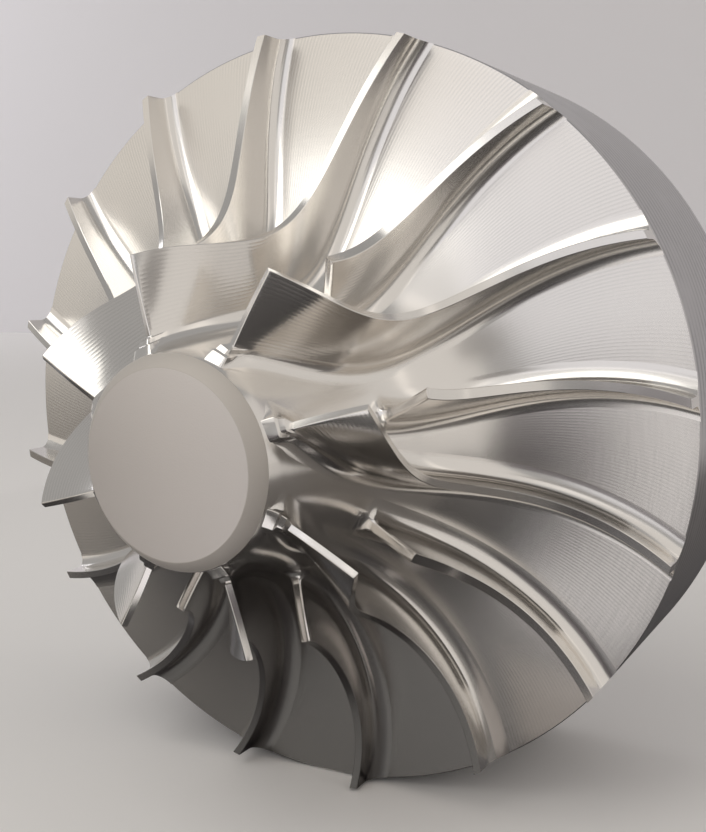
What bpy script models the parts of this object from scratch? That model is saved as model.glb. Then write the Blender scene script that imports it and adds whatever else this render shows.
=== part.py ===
"""A centrifugal compressor impeller, milled from a round aluminium bar.

It lies on its side. Its axis runs along Y, the nose points to -Y, and the
base, the plain bar behind the rim, rests on its side. The origin is the
centre of the base's back face.

Every piece is first made standing up, with +Z towards the nose and height 0
at the front edge of the rim. An empty then lays the pieces down.
"""
import math

import bmesh
import bpy

# Driving sizes, in metres
OUTER_RADIUS = 0.050
BASE_LENGTH = 0.0319
RIM_THICKNESS = 0.003
NOSE_FACE_HEIGHT = 0.0352
NOSE_FACE_RADIUS = 0.0108
NOSE_RING_HEIGHT = 0.0335
NOSE_JOINT_HEIGHT = 0.0316
BASE_CHAMFER = 0.0005
GAP = 0.0003

# Where the blades begin and end: height and radius
HUB_INLET = (0.03115, 0.0127)
HUB_EXIT = (0.0, OUTER_RADIUS)
TIP_INLET = (0.0306, 0.0236)
TIP_EXIT = (0.0044, OUTER_RADIUS)

# Slope and length of each curve's two handles: from the axis at the inlet,
# and from the radial direction at the exit
HUB_HANDLES = (math.radians(12.0), 0.0165, math.radians(3.4), 0.0350)
TIP_HANDLES = (math.radians(2.5), 0.0095, math.radians(7.1), 0.0282)

# How far round the axis the blade lies ahead of its trailing edge, as the
# four control angles of a smooth curve from the inlet to the exit
HUB_SWEEP = [math.radians(a) for a in (35.4, -13.2, 14.9, 0.0)]
TIP_SWEEP = [math.radians(a) for a in (33.3, -4.0, 14.1, 0.0)]

# The blades
MAIN_BLADES = 8
FIRST_TRAILING_EDGE = math.radians(97.2)
SPLITTER_STARTS = (0.36, 0.382)
SPLITTER_TIP_LEAD = math.radians(0.8)
INLET_THICKNESS = 0.0006
EXIT_THICKNESS = 0.00105
INLET_EDGE_SHARE = 0.55
INLET_EDGE_LENGTH = 0.4
ROOT_FILLET = 0.0012
ROOT_FADE = 8

# Rows up a blade: the share of its height, and the share of the fillet there
FILLET_ROWS = [(0.0, 1.0), (0.08, 0.45), (0.24, 0.08), (1.0, 0.0)]

# Fineness of the mesh
TURNED_SIDES = 72
HUB_STATIONS = 22
MAIN_STATIONS = 24
SPLITTER_STATIONS = 16

# Colour and roughness of bare aluminium, by how each surface was cut
MILLED_FINISH = ((0.72, 0.70, 0.67), 0.25)
FACED_FINISH = ((0.58, 0.55, 0.52), 0.5)
TURNED_FINISH = ((0.42, 0.42, 0.43), 0.35)


def clear_scene():
    """Remove the objects that a new file starts with."""
    for item in list(bpy.data.objects):
        bpy.data.objects.remove(item)


def aluminium(name, look):
    """Bare aluminium with one colour and roughness."""
    colour, roughness = look
    finish = bpy.data.materials.new(name)
    finish.use_nodes = True
    shader = finish.node_tree.nodes["Principled BSDF"]
    shader.inputs["Base Color"].default_value = (*colour, 1.0)
    shader.inputs["Metallic"].default_value = 1.0
    shader.inputs["Roughness"].default_value = roughness
    return finish


def bezier(controls, along):
    """A cubic curve through numbers or pairs of numbers."""
    back = 1.0 - along
    weights = (back ** 3, 3 * back * back * along, 3 * back * along * along, along ** 3)
    if isinstance(controls[0], tuple):
        return tuple(sum(w * c[i] for w, c in zip(weights, controls)) for i in range(2))
    return sum(w * c for w, c in zip(weights, controls))


def flow_curve(inlet, leave, handles):
    """The four controls of a curve that turns from axial to radial flow."""
    inlet_slope, inlet_reach, exit_slope, exit_reach = handles
    first = (inlet[0] - inlet_reach * math.cos(inlet_slope),
             inlet[1] + inlet_reach * math.sin(inlet_slope))
    last = (leave[0] + exit_reach * math.sin(exit_slope),
            leave[1] - exit_reach * math.cos(exit_slope))
    return [inlet, first, last, leave]


HUB_CURVE = flow_curve(HUB_INLET, HUB_EXIT, HUB_HANDLES)
TIP_CURVE = flow_curve(TIP_INLET, TIP_EXIT, TIP_HANDLES)


def slope_of(controls, along):
    """How fast a curve changes, from a short step on both sides."""
    step = 0.001
    low = max(0.0, along - step)
    high = min(1.0, along + step)
    before = bezier(controls, low)
    after = bezier(controls, high)
    if isinstance(before, tuple):
        return tuple((b - a) / (high - low) for a, b in zip(before, after))
    return (after - before) / (high - low)


def root_point(along):
    """A point of the blade's root, one gap clear of the hub.

    The step outwards fades towards the exit, where blade and rim end flush.
    """
    height, radius = bezier(HUB_CURVE, along)
    height_step, radius_step = slope_of(HUB_CURVE, along)
    length = math.hypot(height_step, radius_step)
    lift = GAP * (1.0 - along ** ROOT_FADE)
    return (height + GAP * radius_step / length,
            radius - lift * height_step / length)


def lean_factor(controls, sweep, along):
    """Ratio of a blade's width round the axis to its true thickness."""
    radius = bezier(controls, along)[1]
    travel = math.hypot(*slope_of(controls, along))
    turn = radius * slope_of(sweep, along) / travel
    return math.hypot(1.0, turn)


def blade_section(hub_along, tip_along, lead, narrowing):
    """The blade's rows at one station: height, radius, angle and half width."""
    root = root_point(hub_along)
    tip = bezier(TIP_CURVE, tip_along)
    root_angle = bezier(HUB_SWEEP, hub_along)
    tip_angle = bezier(TIP_SWEEP, tip_along) + lead
    root_lean = lean_factor(HUB_CURVE, HUB_SWEEP, hub_along)
    tip_lean = lean_factor(TIP_CURVE, TIP_SWEEP, tip_along)
    thickness = INLET_THICKNESS + (EXIT_THICKNESS - INLET_THICKNESS) * tip_along
    rows = []
    for share, flare in FILLET_ROWS:
        height = root[0] + (tip[0] - root[0]) * share
        radius = root[1] + (tip[1] - root[1]) * share
        angle = root_angle + (tip_angle - root_angle) * share
        lean = root_lean + (tip_lean - root_lean) * share
        width = (thickness / 2 + ROOT_FILLET * flare) * narrowing * lean
        rows.append((height, radius, angle, width / radius))
    return rows


def stations(count):
    """Shares of the way along a blade, with one more just inside the inlet."""
    shares = [i / (count - 1) for i in range(count)]
    return [0.0, INLET_EDGE_LENGTH * shares[1]] + shares[1:]


def add_loops(mesh, sections, trailing_edge):
    """One ring of vertices for each section, up one face and down the other."""
    rings = []
    for rows in sections:
        places = [(row, 1) for row in rows] + [(row, -1) for row in reversed(rows)]
        ring = []
        for (height, radius, angle, half), side in places:
            turn = trailing_edge + angle + side * half
            ring.append(mesh.verts.new((radius * math.cos(turn), radius * math.sin(turn), height)))
        rings.append(ring)
    return rings


def blade(name, starts, lead, count, trailing_edge, finish):
    """A twisted blade, lofted between unlike sections from inlet to exit."""
    hub_start, tip_start = starts
    sections = []
    for share in stations(count):
        narrowing = INLET_EDGE_SHARE if share == 0.0 else 1.0
        sections.append(blade_section(hub_start + (1 - hub_start) * share,
                                      tip_start + (1 - tip_start) * share,
                                      lead * (1 - share), narrowing))
    mesh = bmesh.new()
    rings = add_loops(mesh, sections, trailing_edge)
    for ring, following in zip(rings, rings[1:]):
        for i in range(len(ring)):
            j = (i + 1) % len(ring)
            mesh.faces.new((ring[i], ring[j], following[j], following[i]))
    for ring in (rings[0], rings[-1]):
        rows = len(ring) // 2
        for i in range(rows - 1):
            mesh.faces.new((ring[i], ring[i + 1], ring[-i - 2], ring[-i - 1]))
    bmesh.ops.recalc_face_normals(mesh, faces=mesh.faces)
    return finished(name, mesh, finish)


def finished(name, mesh, finish):
    """An object made of a bmesh, with its finish."""
    data = bpy.data.meshes.new(name)
    mesh.to_mesh(data)
    mesh.free()
    data.materials.append(finish)
    return bpy.data.objects.new(name, data)


def turned(name, profile, finish):
    """A profile of radius and height, turned round the axis.

    Half a side's turn puts a flat side underneath, where the part rests.
    """
    mesh = bmesh.new()
    half_side = math.pi / TURNED_SIDES
    points = [mesh.verts.new((radius * math.cos(half_side), radius * math.sin(half_side), height))
              for radius, height in profile]
    for first, second in zip(points, points[1:]):
        mesh.edges.new((first, second))
    item = finished(name, mesh, finish)
    screw = item.modifiers.new("turning", "SCREW")
    screw.axis = "Z"
    screw.steps = TURNED_SIDES
    screw.render_steps = TURNED_SIDES
    screw.use_merge_vertices = True
    screw.merge_threshold = 0.00001
    return item


def collar_radius(height):
    """Radius in front of the blades, where the hub goes on as a cone."""
    inlet_height, inlet_radius = HUB_INLET
    return inlet_radius - (height - inlet_height) * math.tan(HUB_HANDLES[0])


def hub(finish):
    """The flared body that carries the blades, with the rim's edge."""
    front = NOSE_JOINT_HEIGHT
    profile = [(0.0, front), (collar_radius(front), front)]
    for i in range(HUB_STATIONS + 1):
        height, radius = bezier(HUB_CURVE, i / HUB_STATIONS)
        profile.append((radius, height))
    profile.append((OUTER_RADIUS, -RIM_THICKNESS))
    profile.append((0.0, -RIM_THICKNESS))
    return turned("hub", profile, finish)


def nose(finish):
    """The short collar with the flat face in front of the blades."""
    back = NOSE_JOINT_HEIGHT + GAP
    profile = [(0.0, NOSE_FACE_HEIGHT),
               (NOSE_FACE_RADIUS, NOSE_FACE_HEIGHT),
               (collar_radius(NOSE_RING_HEIGHT), NOSE_RING_HEIGHT),
               (collar_radius(back), back),
               (0.0, back)]
    return turned("nose", profile, finish)


def base(finish):
    """The plain turned bar that is left behind the rim."""
    front = -RIM_THICKNESS - GAP
    profile = [(0.0, front),
               (OUTER_RADIUS, front),
               (OUTER_RADIUS, BASE_CHAMFER - BASE_LENGTH),
               (OUTER_RADIUS - BASE_CHAMFER, -BASE_LENGTH),
               (0.0, -BASE_LENGTH)]
    return turned("base", profile, finish)


def blades(finish):
    """Main blades, and a splitter half way between each two."""
    pitch = math.tau / MAIN_BLADES
    made = []
    for i in range(MAIN_BLADES):
        first = FIRST_TRAILING_EDGE - pitch / 2 - i * pitch
        made.append(blade(f"main_blade_{i + 1}", (0.0, 0.0), 0.0,
                          MAIN_STATIONS, first, finish))
        made.append(blade(f"splitter_blade_{i + 1}", SPLITTER_STARTS, SPLITTER_TIP_LEAD,
                          SPLITTER_STATIONS, first - pitch / 2, finish))
    return made


def lay_down(pieces, collection):
    """Lay the pieces on their side, nose to -Y, back face at the origin."""
    axis = bpy.data.objects.new("impeller_axis", None)
    axis.rotation_euler = (math.radians(90), 0.0, 0.0)
    axis.location = (0.0, -BASE_LENGTH, 0.0)
    collection.objects.link(axis)
    for piece in pieces:
        collection.objects.link(piece)
        piece.parent = axis


def main():
    clear_scene()
    collection = bpy.data.collections.new("impeller")
    bpy.context.scene.collection.children.link(collection)
    milled = aluminium("milled aluminium", MILLED_FINISH)
    faced = aluminium("faced aluminium", FACED_FINISH)
    turned_bar = aluminium("turned aluminium", TURNED_FINISH)
    pieces = [hub(milled), nose(faced), base(turned_bar)]
    pieces += blades(milled)
    lay_down(pieces, collection)


main()
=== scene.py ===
"""A centrifugal compressor impeller in bare aluminium, on a pale studio floor.

The real wheel is one bar of aluminium: turned, then milled into a flared hub
with main and splitter blades. It lies on its side with its axis along Y, its
nose to -Y, and the centre of the base's back face at the origin.

Each shape is worked out standing up, from a height along the axis (0 at the
front edge of the rim, rising to the nose), a radius and a turn round the axis.
"""
import math

import bmesh
import bpy
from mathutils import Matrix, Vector


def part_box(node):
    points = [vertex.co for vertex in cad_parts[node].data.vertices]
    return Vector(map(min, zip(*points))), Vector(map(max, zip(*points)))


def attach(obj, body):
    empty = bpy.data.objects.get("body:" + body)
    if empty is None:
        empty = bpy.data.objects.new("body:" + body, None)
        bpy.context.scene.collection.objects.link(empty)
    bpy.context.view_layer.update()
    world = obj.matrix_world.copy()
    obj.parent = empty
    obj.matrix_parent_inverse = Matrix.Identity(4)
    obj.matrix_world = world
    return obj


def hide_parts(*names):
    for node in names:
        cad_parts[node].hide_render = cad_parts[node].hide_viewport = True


bl_info = {
    "name": "Compressor impeller",
    "version": (1, 0, 0),
    "blender": (4, 5, 0),
    "location": "3D View > Sidebar > Impeller",
    "description": "Builds a milled compressor impeller and a studio to show it in",
    "category": "Add Mesh",
}

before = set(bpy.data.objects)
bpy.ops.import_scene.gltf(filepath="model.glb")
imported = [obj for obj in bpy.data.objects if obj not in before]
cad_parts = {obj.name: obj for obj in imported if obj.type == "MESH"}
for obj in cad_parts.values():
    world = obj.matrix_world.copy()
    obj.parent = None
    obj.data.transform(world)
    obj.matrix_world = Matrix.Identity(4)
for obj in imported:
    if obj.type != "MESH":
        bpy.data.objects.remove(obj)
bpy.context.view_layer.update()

HUB_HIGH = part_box("hub")[1]

# Length of the rim that belongs to the hub
RIM = 0.003

# The two curves that the blades run between: height and radius at both ends,
# then the slope and length of each end's handle
HUB_INLET = (0.03115, 0.0127)
HUB_EXIT = (0.0, 0.050)
HUB_HANDLES = (math.radians(12.0), 0.0165, math.radians(3.4), 0.0350)
TIP_INLET = (0.0306, 0.0236)
TIP_EXIT = (0.0044, 0.050)
TIP_HANDLES = (math.radians(2.5), 0.0095, math.radians(7.1), 0.0282)

# How far the blade lies ahead of its trailing edge, from inlet to exit
HUB_SWEEP = [math.radians(a) for a in (35.4, -13.2, 14.9, 0.0)]
TIP_SWEEP = [math.radians(a) for a in (33.3, -4.0, 14.1, 0.0)]

# The turn round the axis at which the first splitter ends at the rim. Then the
# splitters' starts as shares of the hub's and of the tips' curve, and how far
# their tips lead there
FIRST_TRAILING_EDGE = math.radians(97.2)
SPLITTER_STARTS = (0.36, 0.382)
SPLITTER_TIP_LEAD = math.radians(0.8)

# How far the blades' bottoms lie above the floor's curve, and how far a skirt
# goes down from there into the hub
HUB_CLEARANCE = 0.000006
SKIRT = 0.00015

# A main blade's foot in front of its fillet, as the cutter left it in two
# leaning stairs: shares of the fillet's height, of the reach and of the width
FOOT = ((0.0, 1.0, 1.0), (0.55, 0.70, 0.90), (0.60, 0.52, 0.42), (0.86, 0.36, 0.34),
        (0.91, 0.12, 0.06), (1.0, 0.0, 0.0))

# The foot's width as shares of the fillet, on the side of rising turn (1) and
# on the other (-1), the distance in which the fillet takes over from it, and
# how far it straightens from the blade's path toward the axis
FOOT_SHARES = {1: 0.15, -1: 0.50}
FOOT_GROWTH = 0.0026
FOOT_STRAIGHTENS = 0.6

# How wide the root fillet is for its height, on the same two sides
FILLET_SHAPE = {1: 1.45, -1: 1.0}

# Outlines round an inlet edge, as distances back along the path and across it
# in half thicknesses: both lean back a little toward the side of falling turn
MAIN_EDGE = ((0.14, 1.0), (0.0, 0.86), (0.42, -0.78), (0.62, -0.94), (0.88, -1.0))
SPLITTER_EDGE = ((0.35, 1.0), (0.10, 0.85), (0.0, 0.55), (0.05, 0.35), (0.22, -0.75),
                 (0.34, -0.93), (0.5, -1.0))

# The broken edge of the nose's cone, as shares of its width: how far it goes
# down beside the face, and how far in at the ring line
CONE_BREAK = (0.4, 0.6)

# Fineness of the meshes, and the angle past which an edge stays sharp
LATHE_SIDES = 320
HUB_ROWS = 110
MAIN_STATIONS = 150
SPLITTER_STATIONS = 104
FACE_ROWS = 14
FILLET_STEPS = 9
EDGE_STEPS = 3
SHARP_ANGLE = math.radians(28.0)

# A small step along a blade's path, to find its slope, and where the slope at
# the inlet is taken, as shares of the path
PATH_STEP = 0.002
INLET_SLOPE_AT = 0.004

# Radii between which the cuts on the hub's floor come to show, and the share
# of the outer radius at which they lie their stated distance apart
LINES_SHOW = (0.022, 0.036)
CUTS_TRUE_AT = 0.9

# The cuts on a blade's face: the share of its height over which they come in,
# the distances from the inlet between which they fade, and by how much
CUTS_START = 0.06
CUTS_FADE_BETWEEN = (0.0055, 0.034)
CUTS_FADE = 0.75

# Name of the attribute that runs along and across the cuts
CUT = "cut"

# Size of the patches in which cusps and grooves show. Then the values of the
# patches' noise between which they come in: cusps never go altogether
PATCH = 0.011
PATCH_DETAIL = 2.0
CUSP_PATCH = {"From Min": 0.35, "From Max": 0.65, "To Min": 0.25, "To Max": 1.0}
GROOVE_PATCH = {"From Min": 0.3, "From Max": 0.5}

# Heights of cusps and of chatter on the floors and on the blades
FLOOR_CUSP = 4.4e-6
FLOOR_CHATTER = 4.0e-6
BLADE_CUSP = 5.2e-6
BLADE_CHATTER = 0.8e-6

# Streaks of chatter: the gap between them in millimetres, their length in
# passes of the cutter, and how finely they break up
STREAK_GAP = 0.7
STREAK_CUTS = 9.0
STREAK_DETAIL = 1.0

# Depth of the turned grooves
GROOVE_DEPTH = 0.00002

# How much darker the metal's colour is painted along a cusp and along a turned
# groove: painted shade, for where its steep sides mirror one another
CUSP_SHADE = 0.10
GROOVE_SHADE = 0.32

# Size, height and fineness of the speckle on faced metal
SPECKLE = 0.00016
SPECKLE_HEIGHT = 0.000016
SPECKLE_DETAIL = 3.0

# The camera: its place, the point it looks at, its shift, and how near it sees
CAMERA_PLACE = (0.07598, -0.16486, 0.02042)
CAMERA_AIM = (0.00855, -0.03249, -0.01288)
CAMERA_SHIFT = (-0.0323, 0.1348)
CAMERA_NEAREST = 0.01

# Half the width of the floor and of the wall, how far back the wall stands,
# and the roughness of their paint
STAGE_HALF = 1.6
WALL_PLACE = 0.9
STAGE_ROUGHNESS = 0.9

# The even light from all round is a little warm
ROOM_LIGHT = (1.0, 0.98, 0.96, 1.0)

# Soft boxes that face the wheel: azimuth and elevation from it, distance,
# width, height, brightness and colour
SOFT_BOXES = {
    "window": (-22.0, 52.0, 0.8, 0.50, 0.68, 1.5, "#FFFDF8"),
    "left of the window": (-36.0, 8.0, 1.0, 0.72, 0.75, 0.36, "#FFF4E4"),
    "under the window": (-2.0, 8.0, 1.0, 0.60, 0.75, 0.48, "#FBF9FF"),
    "beside the window": (12.0, 42.0, 1.0, 0.42, 0.60, 0.42, "#FFFBF8"),
    "right wall": (54.0, 22.0, 1.0, 0.95, 1.3, 0.34, "#FFF6EC"),
    "far right wall": (100.0, 22.0, 1.0, 0.8, 1.3, 0.30, "#FFF6EC"),
}

# Two more lamps: place, the point that they face, width, height, brightness
# and colour. One lights the wall behind the wheel. The other is long and dim,
# lies on the floor in front, and brightens the passages near the rim
MORE_LAMPS = {
    "wall lamp": ((-1.3, 0.35, 0.6), (-1.1, 0.9, 0.15), 0.5, 0.5, 2.6, "#FBFAFF"),
    "floor lamp": ((0.009, -0.27, -0.0495), (0.009, -0.27, 0.0), 0.05, 0.36, 0.34, "#F4F3FF"),
}

# Cards on the floor that only the metal mirrors, as painted shade: darker patches
# in its reflections in place of shaded floor. How far above the floor each
# lies, its outline from above, and its paint's colour, roughness and index
FLOOR_CARDS = {
    "grey_card": (0.0001, ((-0.60, -0.06), (-0.60, -0.60), (-0.10, -0.60), (-0.10, -0.06)),
                  "#8D8883", 0.6, 1.5),
    "side_card": (0.0001, ((0.064, 0.25), (0.064, -0.06), (0.10, -0.10), (0.16, -0.20),
                           (0.20, -0.20), (0.20, 0.25)),
                  "#706C69", 0.6, 1.5),
    "dark_card": (0.0002, ((-0.20, 0.25), (-0.20, -0.088), (0.0, -0.086), (0.028, -0.084),
                           (0.035, -0.100), (0.038, -0.150), (0.043, -0.35), (0.05, -0.80),
                           (0.60, -0.80), (0.36, -0.50), (0.24, -0.35), (0.16, -0.20),
                           (0.10, -0.10), (0.064, -0.06), (0.064, 0.25)),
                  "#343132", 0.25, 1.6),
}

# Cards that stand in front of the wheel, with their corners and the same paint
# values: a flag at the right, a low card before the rim and one near the camera
STANDING_CARDS = {
    "grey_flag": (((0.048, -0.40, -0.05), (0.20, -0.35, -0.05), (0.20, -0.35, 0.012),
                   (0.048, -0.40, 0.012)),
                  "#8A868A", 0.8, 1.5),
    "low_card": (((0.024, -0.050, -0.0498), (0.048, -0.050, -0.0498), (0.048, -0.050, -0.038),
                  (0.024, -0.050, -0.038)),
                 "#EAE6E4", 0.8, 1.5),
    "viewer_card": (((0.051, -0.148, 0.041), (0.066, -0.133, 0.035), (0.079, -0.119, 0.050),
                     (0.077, -0.121, 0.060), (0.064, -0.134, 0.059), (0.051, -0.148, 0.054)),
                    "#B8B5B3", 0.8, 1.5),
}

MILLIMETRE = 0.001

# Kinds and settings of nodes that are used often
MATH = "ShaderNodeMath"
NOISE = "ShaderNodeTexNoise"
TIMES = {"operation": "MULTIPLY"}


def length(label, note, size):
    """A size that a user can change, in metres."""
    return bpy.props.FloatProperty(name=label, description=note, default=size, min=0.0,
                                   precision=5, unit="LENGTH")


def share(label, note, value):
    """A share between 0 and 1 that a user can change."""
    return bpy.props.FloatProperty(name=label, description=note, default=value,
                                   min=0.0, max=1.0, subtype="FACTOR")


def linear(hexadecimal):
    """A colour written as sRGB hex, in linear values."""
    parts = [int(hexadecimal[i:i + 2], 16) / 255 for i in (1, 3, 5)]
    return tuple(p / 12.92 if p <= 0.04045 else ((p + 0.055) / 1.055) ** 2.4 for p in parts)


def colour(label, note, hexadecimal):
    """A colour that a user can change."""
    return bpy.props.FloatVectorProperty(name=label, description=note, size=3,
                                         default=linear(hexadecimal), min=0.0, max=1.0,
                                         subtype="COLOR")


class ImpellerWheel(bpy.types.PropertyGroup):
    """Sizes of what was turned on the lathe."""
    radius: length("Outer radius", "Radius of the rim and of the base", 0.050)
    base_length: length("Base length", "From the back face to the rim's front edge",
                        RIM - HUB_HIGH.y)
    rim: length("Rim thickness", "Length of the rim that belongs to the hub", RIM)
    joint_height: length("Nose joint", "Height where hub and nose meet", 0.0316)
    face_height: length("Face height", "Height of the nose's flat face", 0.0352)
    face_radius: length("Face radius", "Radius of the nose's flat face", 0.0108)
    ring_height: length("Ring height", "Height of the ring line on the nose", 0.0335)
    chamfer: length("Back chamfer", "Chamfer round the base's back face", 0.0005)
    broken_edge: length("Broken edge", "Width of the turned edges' tiny chamfers", 0.00012)
    face_edge: length("Face edge", "Width of the broken edges of the nose's cone", 0.00012)


class ImpellerBlades(bpy.types.PropertyGroup):
    """Sizes of what was milled."""
    main_count: bpy.props.IntProperty(name="Main blades", default=8, min=3, max=16,
                                      description="How many main blades, and as many splitters")
    inlet_thickness: length("Inlet thickness", "Blade thickness at the inlet", 0.00080)
    splitter_thickness: length("Splitter thickness", "Splitter thickness at its start", 0.0013)
    exit_thickness: length("Exit thickness", "Blade thickness at the rim", 0.00105)
    fillet: length("Root fillet", "Radius between a blade and the hub", 0.0018)
    fillet_reach: length("Foot reach", "How far the foot runs ahead of the inlet edge", 0.00235)
    deburr: length("Deburred edge", "Width of the tiny chamfer along the tips", 0.00006)
    floor_cut: length("Floor cuts", "Distance between cuts on the hub's floor", 0.00045)
    face_cut: length("Face cuts", "Distance between cuts on the blades' faces", 0.00048)


class ImpellerFinish(bpy.types.PropertyGroup):
    """Colours and roughness of the three cuts in bare aluminium."""
    milled: colour("Milled metal", "Colour of the milled passages and blades", "#EDEAE6")
    blade_roughness: share("Blade roughness", "Roughness of the milled blades", 0.18)
    floor_roughness: share("Floor roughness", "Roughness of the floors by the inlet", 0.2)
    rim_roughness: share("Rim roughness", "Roughness of the floors by the rim", 0.25)
    faced: colour("Faced metal", "Colour of the nose's flat face", "#D8D3CF")
    faced_roughness: share("Faced roughness", "Roughness of the nose's face", 0.62)
    cone: colour("Cone metal", "Colour of the cone behind the nose's face", "#D3CEC8")
    cone_roughness: share("Cone roughness", "Roughness of that cone", 0.75)
    turned: colour("Turned metal", "Colour of the turned base", "#C2C1C3")
    turned_roughness: share("Turned roughness", "Roughness of the turned base", 0.32)
    groove: length("Turned grooves", "Distance between grooves round the base", 0.0017)


class ImpellerStudio(bpy.types.PropertyGroup):
    """The floor, the lights and the camera."""
    floor: colour("Floor", "Colour of the floor", "#F6F4F2")
    wall: colour("Wall", "Colour of the wall behind the wheel", "#ECEAEC")
    room: bpy.props.FloatProperty(name="Room light", default=0.37, min=0.0,
                                  description="Strength of the even light of the room")
    lens: bpy.props.FloatProperty(name="Lens", default=48.99, min=10.0, max=200.0,
                                  description="Focal length of the camera, in millimetres")


class ImpellerSettings(bpy.types.PropertyGroup):
    """The four groups of values."""
    wheel: bpy.props.PointerProperty(name="Wheel", description="Turned sizes",
                                     type=ImpellerWheel)
    blades: bpy.props.PointerProperty(name="Blades", description="Milled sizes",
                                      type=ImpellerBlades)
    finish: bpy.props.PointerProperty(name="Finish", description="Looks of the metal",
                                      type=ImpellerFinish)
    studio: bpy.props.PointerProperty(name="Studio", description="Floor, lights and camera",
                                      type=ImpellerStudio)


def settings():
    """All of the user's values."""
    return bpy.context.scene.impeller


# Curves of the wheel

def bezier(controls, along):
    """A cubic curve through numbers or pairs, straight on before its start."""
    if along < 0.0:
        start = bezier(controls, 0.0)
        rise = slope_of(controls, 0.0)
        if isinstance(start, tuple):
            return tuple(s + along * r for s, r in zip(start, rise))
        return start + along * rise
    back = 1.0 - along
    weights = (back ** 3, 3 * back * back * along, 3 * back * along * along, along ** 3)
    if isinstance(controls[0], tuple):
        return tuple(sum(w * c[i] for w, c in zip(weights, controls)) for i in range(2))
    return sum(w * c for w, c in zip(weights, controls))


def slope_of(controls, along):
    """How fast a cubic curve changes."""
    along = max(along, 0.0)
    back = 1.0 - along
    weights = (3 * back * back, 6 * back * along, 3 * along * along)
    if isinstance(controls[0], tuple):
        return tuple(sum(w * (b[i] - a[i]) for w, a, b in zip(weights, controls, controls[1:]))
                     for i in range(2))
    return sum(w * (b - a) for w, a, b in zip(weights, controls, controls[1:]))


def flow_curve(inlet, leave, handles):
    """The four controls of a curve that turns from axial to radial flow."""
    inlet_slope, inlet_reach, exit_slope, exit_reach = handles
    first = (inlet[0] - inlet_reach * math.cos(inlet_slope),
             inlet[1] + inlet_reach * math.sin(inlet_slope))
    last = (leave[0] + exit_reach * math.sin(exit_slope),
            leave[1] - exit_reach * math.cos(exit_slope))
    return [inlet, first, last, leave]


HUB_CURVE = flow_curve(HUB_INLET, HUB_EXIT, HUB_HANDLES)
TIP_CURVE = flow_curve(TIP_INLET, TIP_EXIT, TIP_HANDLES)


def collar_radius(height):
    """Radius in front of the blades, where the hub goes on as a cone."""
    return HUB_INLET[1] - (height - HUB_INLET[0]) * math.tan(HUB_HANDLES[0])


def smooth_step(low, high, value):
    """0 below low, 1 above high, and a smooth rise between them."""
    t = min(max((value - low) / (high - low), 0.0), 1.0)
    return t * t * (3 - 2 * t)


def laid_down(height, radius, turn):
    """A point of the standing wheel, where it is with the wheel on its side."""
    base_length = settings().wheel.base_length
    return (radius * math.cos(turn), -height - base_length, radius * math.sin(turn))


# Meshes

def finished(name, mesh, finishes):
    """An object made of a bmesh, shaded smooth up to its sharp edges."""
    data = bpy.data.meshes.new(name)
    mesh.to_mesh(data)
    mesh.free()
    for finish in finishes:
        data.materials.append(finish)
    data.shade_smooth()
    data.set_sharp_from_angle(angle=SHARP_ANGLE)
    piece = bpy.data.objects.new(name, data)
    bpy.context.scene.collection.objects.link(piece)
    return piece


def lathe(name, rows, finishes):
    """Rows turned round the axis into one closed body.

    A row is its height, radius, twist, the cuts' length so far, how strongly
    the cuts show, and the number of the finish that starts there. The columns
    follow the twist, so they run along the passages like the cutter did.
    """
    mesh = bmesh.new()
    layer = mesh.loops.layers.float_vector.new(CUT)
    blades = settings().blades
    cuts_round = round(math.tau * CUTS_TRUE_AT * settings().wheel.radius / blades.floor_cut)
    rings = []
    for height, radius, twist, *_ in rows:
        count = 1 if radius == 0.0 else LATHE_SIDES
        turns = [twist + math.tau * i / LATHE_SIDES for i in range(count)]
        rings.append([mesh.verts.new(laid_down(height, radius, turn)) for turn in turns])
    for k in range(len(rows) - 1):
        upper, lower = rings[k], rings[k + 1]
        for i in range(LATHE_SIDES):
            corners = [(upper, k, i), (lower, k + 1, i), (lower, k + 1, i + 1), (upper, k, i + 1)]
            if len(upper) == 1:
                corners.pop()
            if len(lower) == 1:
                corners.pop(1)
            face = mesh.faces.new([ring[step % len(ring)] for ring, _, step in corners])
            face.material_index = rows[k][5]
            for loop, (_, row, step) in zip(face.loops, corners):
                loop[layer] = Vector((rows[row][3] / MILLIMETRE,
                                      step * cuts_round / LATHE_SIDES, rows[row][4]))
    bmesh.ops.recalc_face_normals(mesh, faces=mesh.faces)
    return finished(name, mesh, finishes)


def hub_rows():
    """The hub from its axis in front, over the floor and the rim, to its back."""
    wheel = settings().wheel
    twist = FIRST_TRAILING_EDGE + HUB_SWEEP[0]
    front = wheel.joint_height
    rows = [(front, 0.0, twist, 0.0, 0.0, 0),
            (front, collar_radius(front), twist, 0.0, 0.0, 0)]
    gone = 0.0
    last = HUB_INLET
    for i in range(HUB_ROWS + 1):
        along = i / HUB_ROWS
        height, radius = bezier(HUB_CURVE, along)
        gone += math.dist(last, (height, radius))
        last = (height, radius)
        shown = smooth_step(*LINES_SHOW, radius)
        rows.append((height, radius, FIRST_TRAILING_EDGE + bezier(HUB_SWEEP, along), gone,
                     shown, 0))
    height, radius = last
    edge = wheel.broken_edge
    rows[-1] = (height, radius - edge, FIRST_TRAILING_EDGE, gone, 1.0, 1)
    rows.append((height - edge, radius, FIRST_TRAILING_EDGE, gone, 0.0, 1))
    rows.append((-wheel.rim, radius, FIRST_TRAILING_EDGE, gone, 0.0, 1))
    rows.append((-wheel.rim, 0.0, FIRST_TRAILING_EDGE, gone, 0.0, 1))
    return rows


def plain_rows(profile, finish=0):
    """Rows of a turned profile with no twist and no milled cuts."""
    return [(height, radius, 0.0, 0.0, 0.0, finish) for height, radius in profile]


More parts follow.
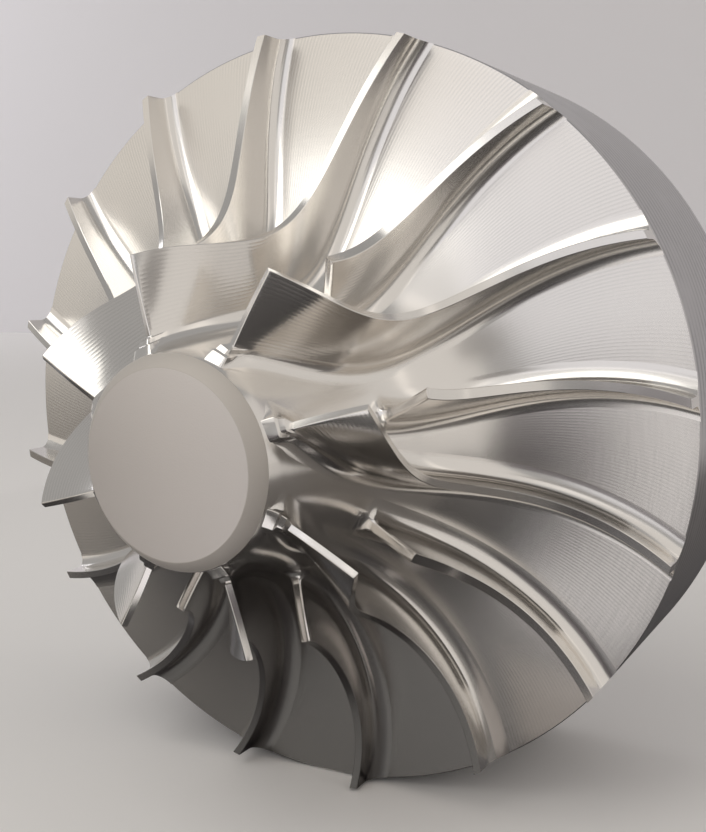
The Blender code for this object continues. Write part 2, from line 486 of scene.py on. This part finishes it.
def nose_rows():
    """The nose: its flat face, a matt cone down to the ring line, and the bright collar."""
    wheel = settings().wheel
    edge = wheel.face_edge
    down, inward = CONE_BREAK
    ring_radius = collar_radius(wheel.ring_height)
    face = plain_rows([(wheel.face_height, 0.0)])
    cone = plain_rows([(wheel.face_height, wheel.face_radius - edge),
                       (wheel.face_height - edge * down, wheel.face_radius),
                       (wheel.ring_height + edge, ring_radius - edge * inward)], finish=1)
    collar = plain_rows([(wheel.ring_height, ring_radius),
                         (wheel.joint_height, collar_radius(wheel.joint_height)),
                         (wheel.joint_height, 0.0)], finish=2)
    return face + cone + collar


def base_rows():
    """The plain bar behind the rim, chamfered at the back."""
    wheel = settings().wheel
    back = -wheel.base_length
    return plain_rows([(-wheel.rim, 0.0),
                       (-wheel.rim, wheel.radius),
                       (back + wheel.chamfer, wheel.radius),
                       (back, wheel.radius - wheel.chamfer),
                       (back, 0.0)])


def foot_at(step):
    """How far ahead and how wide a main blade's foot is, at a share of the fillet's height."""
    for (low, reach_low, wide_low), (high, reach_high, wide_high) in zip(FOOT, FOOT[1:]):
        if step <= high:
            part = (step - low) / (high - low)
            return (reach_low + (reach_high - reach_low) * part,
                    wide_low + (wide_high - wide_low) * part)
    return 0.0, 0.0


def blade_levels():
    """Levels up a blade: lift above the hub, extra half width, share of its face, and foot.

    The fillet's arc ends level with the hub, just above it, and a skirt goes
    down from there into the hub. Above the fillet the levels share the face.
    The foot is how far ahead and how wide the foot is there, as shares.
    """
    blades = settings().blades
    fillet = blades.fillet
    steps = [1 - math.cos(math.pi / 2 * i / FILLET_STEPS) for i in range(FILLET_STEPS)]
    levels = [(-SKIRT, fillet, 0.0, (1.0, 1.0))]
    for step in sorted(steps + [foot[0] for foot in FOOT[1:-1]]):
        extra = fillet * (1 - math.sqrt(1 - (1 - step) ** 2))
        levels.append((fillet * step, extra, 0.0, foot_at(step)))
    none = (0.0, 0.0)
    levels += [(fillet, 0.0, i / FACE_ROWS, none) for i in range(FACE_ROWS)]
    levels.append((fillet, 0.0, None, none))
    levels.append((fillet, -blades.deburr, 1.0, none))
    return levels


def mean_point(level, hub_along, tip_along, lead):
    """Height, radius, turn and lean of the blade's middle at one level."""
    lift, _, face_share, (reach, _) = level
    blades = settings().blades
    height, radius = bezier(HUB_CURVE, hub_along)
    rise, spread = slope_of(HUB_CURVE, hub_along)
    travel = math.hypot(rise, spread)
    height += HUB_CLEARANCE * spread / travel
    radius -= HUB_CLEARANCE * rise / travel
    tip_height, tip_radius = bezier(TIP_CURVE, tip_along)
    span = math.hypot(tip_height - height, tip_radius - radius)
    if face_share is None:
        up = 1.0 - blades.deburr / span
    else:
        up = (lift + (span - lift) * face_share) / span
    root_turn = bezier(HUB_SWEEP, hub_along)
    if hub_along < 0.0:
        root_turn = bezier(HUB_SWEEP, hub_along * (1 - FOOT_STRAIGHTENS * reach))
    tip_turn = bezier(TIP_SWEEP, tip_along) + lead
    here = (height + (tip_height - height) * up, radius + (tip_radius - radius) * up,
            root_turn + (tip_turn - root_turn) * up)
    return here, up, span


def path_angle(level, starts, along, lead):
    """How steep the blade's path is to a plane through the axis, and how long the path is.

    The first is the angle's tangent, the second the distance gone for a whole path.
    """
    spots = []
    for s in (along - PATH_STEP, along + PATH_STEP):
        hub_along = starts[0] + (1 - starts[0]) * s
        tip_along = starts[1] + (1 - starts[1]) * s
        spots.append(mean_point(level, hub_along, tip_along, lead * (1 - s))[0])
    (h0, r0, t0), (h1, r1, t1) = spots
    travel = math.dist((h0, r0), (h1, r1))
    return (r0 + r1) / 2 * (t1 - t0) / travel, travel / (2 * PATH_STEP)


def inlet_edge(corners, half, spread, extra):
    """Points round an inlet edge, from the leading side to the other.

    The edge's corners widen by each side's spread and move ahead by extra.
    """
    points = []
    for back, across in corners:
        side = 1 if across > 0 else -1
        points.append((back * half - extra, across * (half + spread[side])))
    outline = []
    for (b0, a0), (b1, a1) in zip(points, points[1:]):
        outline += [(b0 + (b1 - b0) * i / EDGE_STEPS, a0 + (a1 - a0) * i / EDGE_STEPS)
                    for i in range(EDGE_STEPS)]
    return outline + [points[-1]]


def main_front(half, level):
    """The front of a main blade: nearly square, with a stepped foot.

    Also returns how square to its path it is: the foot's front follows the ring line.
    """
    blades = settings().blades
    reach, wide = level[3]
    spread = {side: min(level[1], 0.0) + blades.fillet * wide * part
              for side, part in FOOT_SHARES.items()}
    return inlet_edge(MAIN_EDGE, half, spread, blades.fillet_reach * reach), spread, 1 - reach


def splitter_front(half, level):
    """The front of a splitter, with the fillet led round its foot."""
    extra = level[1]
    corner = max(extra, 0.0)
    if corner == 0.0:
        spread = {1: extra, -1: extra}
        return inlet_edge(SPLITTER_EDGE, half, spread, 0.0), spread, 1.0
    spread = {side: extra * shape for side, shape in FILLET_SHAPE.items()}
    edge = inlet_edge(SPLITTER_EDGE, half, {1: 0.0, -1: 0.0}, 0.0)
    outline = []
    for i, (back, across) in enumerate(edge):
        angle = math.pi * i / (len(edge) - 1)
        wide = spread[1 if across > 0 else -1]
        outline.append((back - corner * math.sin(angle), across + wide * math.cos(angle)))
    return outline, spread, 1.0


def blade_thickness(starts, along):
    """How thick a blade is, at a share of its own length."""
    blades = settings().blades
    first = blades.splitter_thickness if starts[0] > 0.0 else blades.inlet_thickness
    return first + (blades.exit_thickness - first) * along


def blade_outline(level, starts, lead, stations, front):
    """One closed line round the blade at one level, from trailing edge to trailing edge.

    A point is its height, radius and turn, its distance along the blade, its
    share of the height, the blade's height there, and 1 on the faces or 0
    round the inlet edge.
    """
    extra = level[1]
    tangent, speed = path_angle(level, starts, INLET_SLOPE_AT, lead)
    cosine = 1 / math.hypot(1, tangent)
    edge, spread, square = front(blade_thickness(starts, 0.0) / 2, level)
    nose = [((back - across * tangent * square) * cosine, across / cosine)
            for back, across in edge]

    def spot(along, across, on_face):
        hub_along = starts[0] + (1 - starts[0]) * along
        tip_along = starts[1] + (1 - starts[1]) * along
        (height, radius, turn), up, span = mean_point(level, hub_along, tip_along,
                                                      lead * (1 - max(along, 0.0)))
        return (height, radius, turn + across / radius, speed * along, up, span, on_face)

    def side_line(side, start):
        line = []
        for i in range(stations):
            along = start + (1 - start) * i / (stations - 1)
            slant = path_angle(level, starts, max(along, INLET_SLOPE_AT), lead)[0]
            thick = blade_thickness(starts, along)
            widening = smooth_step(0.0, FOOT_GROWTH, (along - start) * speed)
            full = extra * FILLET_SHAPE[side] if extra > 0 else extra
            fillet = spread[side] + (full - spread[side]) * widening
            across = side * (thick / 2 + fillet) * math.hypot(1, slant)
            line.append(spot(along, across, 1.0))
        return line

    return (side_line(1, nose[0][0] / speed)[::-1]
            + [spot(forward / speed, across, 0.0) for forward, across in nose[1:-1]]
            + side_line(-1, nose[-1][0] / speed))


def blade_mesh(name, starts, lead, stations, front, finish):
    """One twisted blade with its fillets, its trailing edge at turn 0."""
    blades = settings().blades
    levels = blade_levels()
    mesh = bmesh.new()
    layer = mesh.verts.layers.float_vector.new(CUT)
    cuts_up = (TIP_INLET[1] - HUB_INLET[1] - blades.fillet) / blades.face_cut
    rings = []
    for level in levels:
        ring = []
        for height, radius, turn, gone, up, span, on_face in blade_outline(level, starts, lead,
                                                                           stations, front):
            vert = mesh.verts.new(laid_down(height, radius, turn))
            above = (up * span - blades.fillet) / (span - blades.fillet)
            fading = CUTS_FADE * smooth_step(*CUTS_FADE_BETWEEN, gone)
            shown = on_face * smooth_step(0.0, CUTS_START, above) * (1 - fading)
            vert[layer] = Vector((gone / MILLIMETRE, above * cuts_up, shown))
            ring.append(vert)
        rings.append(ring)
    for lower, upper in zip(rings, rings[1:]):
        for i in range(len(lower)):
            j = (i + 1) % len(lower)
            mesh.faces.new((lower[i], lower[j], upper[j], upper[i]))
    for ring in (rings[0], rings[-1]):
        half = len(ring) // 2
        for i in range(half if len(ring) % 2 else half - 1):
            corners = [ring[i], ring[i + 1], ring[-i - 2], ring[-i - 1]]
            if corners[1] == corners[2]:
                corners.pop(2)
            mesh.faces.new(corners)
    bmesh.ops.recalc_face_normals(mesh, faces=mesh.faces)
    return finished(name, mesh, [finish])


# Geometry nodes

def add_node(tree, kind, options=None, inputs=None):
    """Add one node. An input is a value, a socket, or a node, whose first output it takes."""
    made = tree.nodes.new(kind)
    for name, value in (options or {}).items():
        setattr(made, name, value)
    for socket, given in (inputs or {}).items():
        if isinstance(given, bpy.types.Node):
            given = given.outputs[0]
        if isinstance(given, bpy.types.NodeSocket):
            tree.links.new(given, made.inputs[socket])
        else:
            made.inputs[socket].default_value = given
    return made


def ring_tree():
    """A tree that repeats one blade round the wheel's axis."""
    tree = bpy.data.node_groups.new("ring of blades", "GeometryNodeTree")
    sockets = tree.interface
    sockets.new_socket("Geometry", in_out="INPUT", socket_type="NodeSocketGeometry")
    sockets.new_socket("Count", in_out="INPUT", socket_type="NodeSocketInt")
    sockets.new_socket("First turn", in_out="INPUT", socket_type="NodeSocketFloat")
    sockets.new_socket("Finish", in_out="INPUT", socket_type="NodeSocketMaterial")
    sockets.new_socket("Geometry", in_out="OUTPUT", socket_type="NodeSocketGeometry")
    given = add_node(tree, "NodeGroupInput").outputs
    points = add_node(tree, "GeometryNodeMeshLine",
                      inputs={"Count": given["Count"], "Offset": (0.0, 0.0, 0.0)})
    pitch = add_node(tree, MATH, {"operation": "DIVIDE"}, {0: math.tau, 1: given["Count"]})
    index = add_node(tree, "GeometryNodeInputIndex")
    step = add_node(tree, MATH, TIMES, {0: index, 1: pitch})
    turn = add_node(tree, MATH, {"operation": "SUBTRACT"}, {0: step, 1: given["First turn"]})
    rotation = add_node(tree, "ShaderNodeCombineXYZ", inputs={"Y": turn})
    copies = add_node(tree, "GeometryNodeInstanceOnPoints",
                      inputs={"Points": points, "Instance": given["Geometry"],
                              "Rotation": rotation})
    real = add_node(tree, "GeometryNodeRealizeInstances", inputs={"Geometry": copies})
    coated = add_node(tree, "GeometryNodeSetMaterial",
                      inputs={"Geometry": real, "Material": given["Finish"]})
    add_node(tree, "NodeGroupOutput", inputs={0: coated})
    return tree


def ring_of(name, blade, first_turn, finish):
    """Repeat a blade round the axis and return the ring as one plain mesh."""
    tree = bpy.data.node_groups.get("ring of blades") or ring_tree()
    wanted = {"Count": settings().blades.main_count, "First turn": first_turn, "Finish": finish}
    modifier = blade.modifiers.new("ring", "NODES")
    modifier.node_group = tree
    for item in tree.interface.items_tree:
        if item.in_out == "INPUT" and item.name in wanted:
            modifier[item.identifier] = wanted[item.name]
    bpy.context.view_layer.update()
    seen = blade.evaluated_get(bpy.context.evaluated_depsgraph_get())
    data = bpy.data.meshes.new_from_object(seen)
    data.name = name
    bpy.data.objects.remove(blade)
    ring = bpy.data.objects.new(name, data)
    bpy.context.scene.collection.objects.link(ring)
    return ring


# Finishes

def metal(name, base, roughness):
    """A new metal material: its tree and its shader."""
    made = bpy.data.materials.new(name)
    made.use_nodes = True
    tree = made.node_tree
    shader = tree.nodes["Principled BSDF"]
    shader.inputs["Base Color"].default_value = (*base, 1.0)
    shader.inputs["Metallic"].default_value = 1.0
    shader.inputs["Roughness"].default_value = roughness
    return made, tree, shader


def mark(tree, shader, height, painted_shade_lines=None, painted_shade=0.0):
    """Press marks of some height, in metres, into a metal, and paint shade along their lines."""
    bump = add_node(tree, "ShaderNodeBump",
                    inputs={"Strength": 1.0, "Distance": 1.0, "Height": height})
    tree.links.new(bump.outputs[0], shader.inputs["Normal"])
    if painted_shade_lines:
        # A Mix of colours has them in inputs 6 and 7, and its result in output 2
        # The darker colour is painted shade along the lines
        plain = tuple(shader.inputs["Base Color"].default_value)[:3]
        shaded = tuple(part * (1 - painted_shade) for part in plain)
        mixed = add_node(tree, "ShaderNodeMix", {"data_type": "RGBA"},
                         {0: painted_shade_lines, 6: (*plain, 1.0), 7: (*shaded, 1.0)})
        tree.links.new(mixed.outputs[2], shader.inputs["Base Color"])


def milled_aluminium(name, roughness, rim_roughness, cusp, chatter):
    """Aluminium milled with a small ball cutter, near to mirror bright.

    Each pass of the cutter leaves a hollow with a cusp on either side, which
    spreads a highlight across the path. The cusps come and go in patches, and
    faint chatter runs across the path.
    """
    if name in bpy.data.materials:
        return bpy.data.materials[name]
    made, tree, shader = metal(name, settings().finish.milled, roughness)
    cut = add_node(tree, "ShaderNodeAttribute", {"attribute_name": CUT}).outputs["Vector"]
    _, across, shown = add_node(tree, "ShaderNodeSeparateXYZ", inputs={0: cut}).outputs
    place = add_node(tree, "ShaderNodeTexCoord").outputs["Object"]
    patches = add_node(tree, NOISE,
                       inputs={"Vector": place, "Scale": 1 / PATCH, "Detail": PATCH_DETAIL})
    patch = add_node(tree, "ShaderNodeMapRange", inputs={"Value": patches, **CUSP_PATCH})
    strength = add_node(tree, MATH, TIMES, {0: shown, 1: patch})
    passes = add_node(tree, MATH, TIMES, {0: across, 1: math.pi})
    wave = add_node(tree, MATH, {"operation": "SINE"}, {0: passes})
    hollow = add_node(tree, MATH, {"operation": "ABSOLUTE"}, {0: wave})
    depth = add_node(tree, MATH, TIMES, {0: strength, 1: -cusp})
    cusps = add_node(tree, MATH, TIMES, {0: hollow, 1: depth})
    grain = add_node(tree, "ShaderNodeVectorMath", TIMES,
                     {0: cut, 1: (1 / STREAK_GAP, 1 / STREAK_CUTS, 0.0)})
    streak = add_node(tree, NOISE, inputs={"Vector": grain, "Scale": 1.0, "Detail": STREAK_DETAIL})
    faint = add_node(tree, MATH, TIMES, {0: streak, 1: shown})
    marks = add_node(tree, MATH, TIMES, {0: faint, 1: chatter})
    height = add_node(tree, MATH, {"operation": "ADD"}, {0: cusps, 1: marks})
    # Painted shade: a thin darker line of colour along each cusp, where the cusps show
    ridge = add_node(tree, MATH, {"operation": "SUBTRACT"}, {0: 1.0, 1: hollow})
    painted_shade_lines = add_node(tree, MATH, TIMES, {0: ridge, 1: strength})
    mark(tree, shader, height, painted_shade_lines, CUSP_SHADE)
    if rim_roughness != roughness:
        rough = add_node(tree, "ShaderNodeMapRange",
                         inputs={"Value": shown, "To Min": roughness, "To Max": rim_roughness})
        tree.links.new(rough.outputs[0], shader.inputs["Roughness"])
    return made


def milled_floor():
    """The hub's floors: polished by the inlet, satin and finely streaked by the rim."""
    finish = settings().finish
    return milled_aluminium("milled aluminium floor", finish.floor_roughness,
                            finish.rim_roughness, FLOOR_CUSP, FLOOR_CHATTER)


def milled_blade():
    """The blades: bright faces with a cusp between each two passes of the cutter."""
    roughness = settings().finish.blade_roughness
    return milled_aluminium("milled aluminium blade", roughness, roughness,
                            BLADE_CUSP, BLADE_CHATTER)


def faced_aluminium(name, base, roughness):
    """Aluminium faced on a lathe and left matt: it glows evenly, with a fine speckle."""
    if name in bpy.data.materials:
        return bpy.data.materials[name]
    made, tree, shader = metal(name, base, roughness)
    place = add_node(tree, "ShaderNodeTexCoord").outputs["Object"]
    speckle = add_node(tree, NOISE,
                       inputs={"Vector": place, "Scale": 1 / SPECKLE, "Detail": SPECKLE_DETAIL})
    mark(tree, shader, add_node(tree, MATH, TIMES, {0: speckle, 1: SPECKLE_HEIGHT}))
    return made


def turned_aluminium():
    """Aluminium turned with a pointed tool: a dull sheen, with painted shade in fine grooves round
    it.
    """
    name = "turned aluminium"
    if name in bpy.data.materials:
        return bpy.data.materials[name]
    finish = settings().finish
    made, tree, shader = metal(name, finish.turned, finish.turned_roughness)
    place = add_node(tree, "ShaderNodeTexCoord").outputs["Object"]
    along = add_node(tree, "ShaderNodeSeparateXYZ", inputs={0: place}).outputs["Y"]
    phase = add_node(tree, MATH, TIMES, {0: along, 1: math.tau / finish.groove})
    wave = add_node(tree, MATH, {"operation": "SINE"}, {0: phase})
    patches = add_node(tree, NOISE,
                       inputs={"Vector": place, "Scale": 1 / PATCH, "Detail": PATCH_DETAIL})
    patch = add_node(tree, "ShaderNodeMapRange", inputs={"Value": patches, **GROOVE_PATCH})
    depth = add_node(tree, MATH, TIMES, {0: patch, 1: GROOVE_DEPTH})
    height = add_node(tree, MATH, TIMES, {0: depth, 1: wave})
    # Painted shade: the colour is darker along the falling half of each groove
    falling = add_node(tree, MATH, TIMES, {0: wave, 1: -1.0})
    groove = add_node(tree, MATH, {"operation": "MAXIMUM"}, {0: falling, 1: 0.0})
    painted_shade_lines = add_node(tree, MATH, TIMES, {0: groove, 1: patch})
    mark(tree, shader, height, painted_shade_lines, GROOVE_SHADE)
    return made


def stage_paint(name, base, roughness, index=1.5):
    """Smooth paint in one colour, as on a studio's floor, wall and cards."""
    made = bpy.data.materials.new(name)
    made.use_nodes = True
    shader = made.node_tree.nodes["Principled BSDF"]
    shader.inputs["Base Color"].default_value = (*base, 1.0)
    shader.inputs["Roughness"].default_value = roughness
    shader.inputs["IOR"].default_value = index
    return made


def seat(piece, slot, *nodes):
    """Let a piece ride on the wheel's one body in place of its nodes."""
    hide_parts(*nodes)
    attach(piece, "root")


# Stage

def flat_piece(name, corners, paint):
    """A flat piece of the stage with one face."""
    mesh = bmesh.new()
    mesh.faces.new([mesh.verts.new(corner) for corner in corners])
    piece = finished(name, mesh, [paint])
    return piece


def add_floor():
    """A floor that the wheel rests on, with a wall far behind it."""
    studio = settings().studio
    half = STAGE_HALF
    low = -settings().wheel.radius
    ground = [(-half, -half, low), (half, -half, low), (half, half, low), (-half, half, low)]
    flat_piece("floor", ground, stage_paint("floor paint", studio.floor, STAGE_ROUGHNESS))
    back = [(-half, WALL_PLACE, low), (half, WALL_PLACE, low),
            (half, WALL_PLACE, low + half), (-half, WALL_PLACE, low + half)]
    flat_piece("wall", back, stage_paint("wall paint", studio.wall, STAGE_ROUGHNESS))


def add_card(name, corners, base, roughness, index):
    """A card that only bright metal mirrors: no camera or matt paint sees it."""
    card = flat_piece(name, corners, stage_paint(name, linear(base), roughness, index))
    card.visible_camera = False
    card.visible_diffuse = False
    card.visible_shadow = False


def add_cards():
    """Cards on the floor and in front, which keep the pale stage from washing out the metal."""
    floor = -settings().wheel.radius
    for name, (lift, outline, *paint) in FLOOR_CARDS.items():
        add_card(name, [(x, y, floor + lift) for x, y in outline], *paint)
    for name, (corners, *paint) in STANDING_CARDS.items():
        add_card(name, corners, *paint)


def add_lamp(name, place, toward, width, height, brightness, tint):
    """A flat lamp that the camera doesn't see. Its face is equally bright at any size."""
    lamp = bpy.data.lights.new(name, "AREA")
    lamp.shape = "RECTANGLE"
    lamp.size = width
    lamp.size_y = height
    lamp.energy = brightness * math.pi * width * height
    lamp.color = linear(tint)
    holder = bpy.data.objects.new(name, lamp)
    holder.location = place
    holder.rotation_mode = "QUATERNION"
    holder.rotation_quaternion = (Vector(toward) - Vector(place)).to_track_quat("-Z", "Y")
    holder.visible_camera = False
    bpy.context.scene.collection.objects.link(holder)


def add_lamps():
    """The soft boxes round the wheel, the lamp on the wall and the one on the floor."""
    for name, (azimuth, elevation, distance, *rest) in SOFT_BOXES.items():
        turn = math.radians(azimuth)
        rise = math.radians(elevation)
        level = math.cos(rise)
        away = Vector((math.sin(turn) * level, -math.cos(turn) * level, math.sin(rise)))
        add_lamp(name, away * distance, (0.0, 0.0, 0.0), *rest)
    for name, lamp in MORE_LAMPS.items():
        add_lamp(name, *lamp)


def add_camera():
    """The camera at the photograph's viewing angle."""
    data = bpy.data.cameras.new("camera")
    data.lens = settings().studio.lens
    data.shift_x, data.shift_y = CAMERA_SHIFT
    data.clip_start = CAMERA_NEAREST
    camera = bpy.data.objects.new("camera", data)
    camera.location = CAMERA_PLACE
    away = Vector(CAMERA_AIM) - Vector(CAMERA_PLACE)
    camera.rotation_mode = "QUATERNION"
    camera.rotation_quaternion = away.to_track_quat("-Z", "Y")
    bpy.context.scene.collection.objects.link(camera)
    bpy.context.scene.camera = camera


def add_room_light():
    """Even light from all round."""
    world = bpy.data.worlds.new("room")
    world.use_nodes = True
    background = world.node_tree.nodes["Background"]
    background.inputs["Color"].default_value = ROOM_LIGHT
    background.inputs["Strength"].default_value = settings().studio.room
    bpy.context.scene.world = world


# Operators

class IMPELLER_OT_hub(bpy.types.Operator):
    """Turn the flared hub with the floors of its passages"""
    bl_idname = "impeller.hub"
    bl_label = "Hub"

    def execute(self, context):
        hub = lathe("hub_body", hub_rows(), [milled_floor(), turned_aluminium()])
        seat(hub, "milled_aluminium", "hub")
        return {"FINISHED"}


class IMPELLER_OT_nose(bpy.types.Operator):
    """Turn the nose with its flat face"""
    bl_idname = "impeller.nose"
    bl_label = "Nose"

    def execute(self, context):
        finish = settings().finish
        face = faced_aluminium("faced aluminium", finish.faced, finish.faced_roughness)
        cone = faced_aluminium("faced aluminium cone", finish.cone, finish.cone_roughness)
        nose = lathe("nose_collar", nose_rows(), [face, cone, milled_floor()])
        seat(nose, "faced_aluminium", "nose")
        return {"FINISHED"}


class IMPELLER_OT_base(bpy.types.Operator):
    """Turn the plain bar that is left behind the rim"""
    bl_idname = "impeller.base"
    bl_label = "Base"

    def execute(self, context):
        base = lathe("base_bar", base_rows(), [turned_aluminium()])
        seat(base, "turned_aluminium", "base")
        return {"FINISHED"}


class IMPELLER_OT_main_blades(bpy.types.Operator):
    """Mill the main blades, which begin at the inlet"""
    bl_idname = "impeller.main_blades"
    bl_label = "Main blades"

    def execute(self, context):
        count = settings().blades.main_count
        finish = milled_blade()
        blade = blade_mesh("main_blade", (0.0, 0.0), 0.0, MAIN_STATIONS, main_front, finish)
        first = FIRST_TRAILING_EDGE - math.pi / count
        ring = ring_of("main_blades", blade, first, finish)
        seat(ring, "milled_aluminium", *(f"main_blade_{i + 1}" for i in range(count)))
        return {"FINISHED"}


class IMPELLER_OT_splitter_blades(bpy.types.Operator):
    """Mill the splitter blades, which begin part of the way down"""
    bl_idname = "impeller.splitter_blades"
    bl_label = "Splitter blades"

    def execute(self, context):
        count = settings().blades.main_count
        finish = milled_blade()
        blade = blade_mesh("splitter_blade", SPLITTER_STARTS, SPLITTER_TIP_LEAD,
                           SPLITTER_STATIONS, splitter_front, finish)
        ring = ring_of("splitter_blades", blade, FIRST_TRAILING_EDGE, finish)
        seat(ring, "milled_aluminium", *(f"splitter_blade_{i + 1}" for i in range(count)))
        return {"FINISHED"}


class IMPELLER_OT_studio(bpy.types.Operator):
    """Set up the floor, the lights and the camera"""
    bl_idname = "impeller.studio"
    bl_label = "Studio"

    def execute(self, context):
        add_floor()
        add_cards()
        add_lamps()
        add_room_light()
        add_camera()
        # The plain transform keeps the contrast that a photograph has
        context.scene.view_settings.view_transform = "Standard"
        return {"FINISHED"}


OPERATORS = (IMPELLER_OT_hub, IMPELLER_OT_nose, IMPELLER_OT_base, IMPELLER_OT_main_blades,
             IMPELLER_OT_splitter_blades, IMPELLER_OT_studio)


class IMPELLER_PT_panel(bpy.types.Panel):
    """Lists the steps and their values"""
    bl_idname = "IMPELLER_PT_panel"
    bl_label = "Impeller"
    bl_space_type = "VIEW_3D"
    bl_region_type = "UI"
    bl_category = "Impeller"

    def draw(self, context):
        for operator in OPERATORS:
            self.layout.operator(operator.bl_idname)
        values = context.scene.impeller
        for group in (values.wheel, values.blades, values.finish, values.studio):
            box = self.layout.box()
            for name in group.bl_rna.properties.keys():
                if name not in ("rna_type", "name"):
                    box.prop(group, name)


GROUPS = (ImpellerWheel, ImpellerBlades, ImpellerFinish, ImpellerStudio, ImpellerSettings)
CLASSES = GROUPS + OPERATORS + (IMPELLER_PT_panel,)


def register():
    """Add the classes and the values to Blender."""
    for item in CLASSES:
        bpy.utils.register_class(item)
    bpy.types.Scene.impeller = bpy.props.PointerProperty(
        name="Impeller", description="Values of the impeller", type=ImpellerSettings)


def unregister():
    """Take the values and the classes out again."""
    del bpy.types.Scene.impeller
    for item in reversed(CLASSES):
        bpy.utils.unregister_class(item)


def main():
    """Build the stage and the wheel."""
    register()
    bpy.ops.impeller.studio()
    bpy.ops.impeller.hub()
    bpy.ops.impeller.nose()
    bpy.ops.impeller.base()
    bpy.ops.impeller.main_blades()
    bpy.ops.impeller.splitter_blades()


if __name__ == "__main__":
    main()
